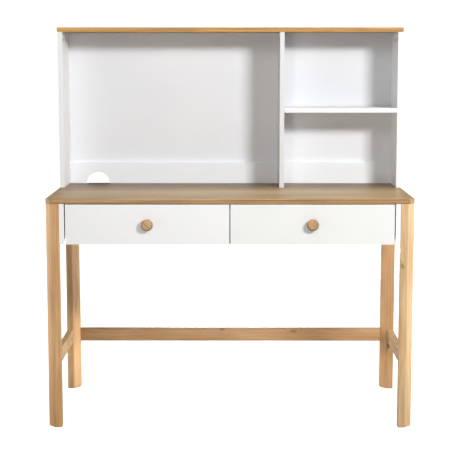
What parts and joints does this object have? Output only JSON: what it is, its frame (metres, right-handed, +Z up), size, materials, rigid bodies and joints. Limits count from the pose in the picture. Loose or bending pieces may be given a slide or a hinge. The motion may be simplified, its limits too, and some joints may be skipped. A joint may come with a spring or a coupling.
{
  "type": "student desk with hutch",
  "caption": "Writing desk on solid wood legs with two drawers under the top and an open shelf hutch standing on its rear edge.",
  "frame": {"origin": "bottom centre of the bounding box, at floor level", "axes": "+Z up, +X to the right of a person sitting at the desk, -Y towards that person; drawers open towards -Y"},
  "size_m": [1.202, 0.56, 1.318],
  "materials": {
    "oak_top": "oak-look board, satin clear finish",
    "solid_wood": "solid light wood, matt clear finish",
    "knob_wood": "turned wood, matt clear finish",
    "dowel_wood": "bare beech",
    "white_board": "white board, satin",
    "back_board": "thin white fibreboard, satin",
    "drawer_board": "white foiled board, matt",
    "drawer_bottom_board": "thin white fibreboard",
    "runner_steel": "white epoxy coated steel sheet",
    "nylon": "natural nylon",
    "zinc": "die-cast zinc",
    "bright_steel": "zinc-plated steel"
  },
  "bodies": {
    "desk": {"cam_bolts": "bright_steel", "cam_locks": "zinc", "case_back": "white_board", "case_partition": "white_board", "case_side_left": "white_board", "case_side_right": "white_board", "desktop": "oak_top", "dowels": "dowel_wood", "hutch_back_panel": "back_board", "hutch_bolts": "bright_steel", "hutch_divider": "white_board", "hutch_rail_left": "white_board", "hutch_rail_right": "white_board", "hutch_shelf": "white_board", "hutch_side_left": "white_board", "hutch_side_right": "white_board", "hutch_top": "oak_top", "leg_bolts": "bright_steel", "leg_front_left": "solid_wood", "leg_front_right": "solid_wood", "leg_rear_left": "solid_wood", "leg_rear_right": "solid_wood", "rear_stretcher": "solid_wood", "runner_case_left_inner": "runner_steel", "runner_case_left_outer": "runner_steel", "runner_case_right_inner": "runner_steel", "runner_case_right_outer": "runner_steel", "shelf_supports": "bright_steel", "side_stretcher_left": "solid_wood", "side_stretcher_right": "solid_wood", "top_brackets": "bright_steel"},
    "drawer_left": {"drawer_left_back": "drawer_board", "drawer_left_bottom": "drawer_bottom_board", "drawer_left_front": "white_board", "drawer_left_knob": "knob_wood", "drawer_left_knob_screw": "bright_steel", "drawer_left_side_inner": "drawer_board", "drawer_left_side_outer": "drawer_board", "runner_drawer_left_inner": "runner_steel", "runner_drawer_left_outer": "runner_steel"},
    "drawer_right": {"drawer_right_back": "drawer_board", "drawer_right_bottom": "drawer_bottom_board", "drawer_right_front": "white_board", "drawer_right_knob": "knob_wood", "drawer_right_knob_screw": "bright_steel", "drawer_right_side_inner": "drawer_board", "drawer_right_side_outer": "drawer_board", "runner_drawer_right_inner": "runner_steel", "runner_drawer_right_outer": "runner_steel"},
    "roller_front_left_inner": {"roller_front_left_inner": "nylon"},
    "roller_front_left_outer": {"roller_front_left_outer": "nylon"},
    "roller_front_right_inner": {"roller_front_right_inner": "nylon"},
    "roller_front_right_outer": {"roller_front_right_outer": "nylon"},
    "roller_rear_left_inner": {"roller_rear_left_inner": "nylon"},
    "roller_rear_left_outer": {"roller_rear_left_outer": "nylon"},
    "roller_rear_right_inner": {"roller_rear_right_inner": "nylon"},
    "roller_rear_right_outer": {"roller_rear_right_outer": "nylon"}
  },
  "joints": [
    {"name": "drawer_left_slide", "type": "slide", "parent": "desk", "child": "drawer_left", "axis": [0, -1, 0], "range_m": [0, 0.3]},
    {"name": "drawer_right_slide", "type": "slide", "parent": "desk", "child": "drawer_right", "axis": [0, -1, 0], "range_m": [0, 0.3]},
    {"name": "roller_front_left_outer_spin", "type": "hinge", "parent": "desk", "child": "roller_front_left_outer", "pos_m": [-0.53315, -0.2285, 0.63835], "axis": [1, 0, 0], "range_deg": [0, 1570]},
    {"name": "roller_rear_left_outer_spin", "type": "hinge", "parent": "drawer_left", "child": "roller_rear_left_outer", "pos_m": [-0.53035, 0.1435, 0.63835], "axis": [1, 0, 0], "range_deg": [0, 1570]},
    {"name": "roller_front_left_inner_spin", "type": "hinge", "parent": "desk", "child": "roller_front_left_inner", "pos_m": [-0.01285, -0.2285, 0.63835], "axis": [1, 0, 0], "range_deg": [0, 1570]},
    {"name": "roller_rear_left_inner_spin", "type": "hinge", "parent": "drawer_left", "child": "roller_rear_left_inner", "pos_m": [-0.01565, 0.1435, 0.63835], "axis": [1, 0, 0], "range_deg": [0, 1570]},
    {"name": "roller_front_right_outer_spin", "type": "hinge", "parent": "desk", "child": "roller_front_right_outer", "pos_m": [0.53315, -0.2285, 0.63835], "axis": [1, 0, 0], "range_deg": [0, 1570]},
    {"name": "roller_rear_right_outer_spin", "type": "hinge", "parent": "drawer_right", "child": "roller_rear_right_outer", "pos_m": [0.53035, 0.1435, 0.63835], "axis": [1, 0, 0], "range_deg": [0, 1570]},
    {"name": "roller_front_right_inner_spin", "type": "hinge", "parent": "desk", "child": "roller_front_right_inner", "pos_m": [0.01285, -0.2285, 0.63835], "axis": [1, 0, 0], "range_deg": [0, 1570]},
    {"name": "roller_rear_right_inner_spin", "type": "hinge", "parent": "drawer_right", "child": "roller_rear_right_inner", "pos_m": [0.01565, 0.1435, 0.63835], "axis": [1, 0, 0], "range_deg": [0, 1570]}
  ],
  "couplings": [
    {"joint": "roller_front_left_outer_spin", "follows": "drawer_left_slide", "rad_per_m": 90.909},
    {"joint": "roller_rear_left_outer_spin", "follows": "drawer_left_slide", "rad_per_m": 90.909},
    {"joint": "roller_front_left_inner_spin", "follows": "drawer_left_slide", "rad_per_m": 90.909},
    {"joint": "roller_rear_left_inner_spin", "follows": "drawer_left_slide", "rad_per_m": 90.909},
    {"joint": "roller_front_right_outer_spin", "follows": "drawer_right_slide", "rad_per_m": 90.909},
    {"joint": "roller_rear_right_outer_spin", "follows": "drawer_right_slide", "rad_per_m": 90.909},
    {"joint": "roller_front_right_inner_spin", "follows": "drawer_right_slide", "rad_per_m": 90.909},
    {"joint": "roller_rear_right_inner_spin", "follows": "drawer_right_slide", "rad_per_m": 90.909}
  ]
}
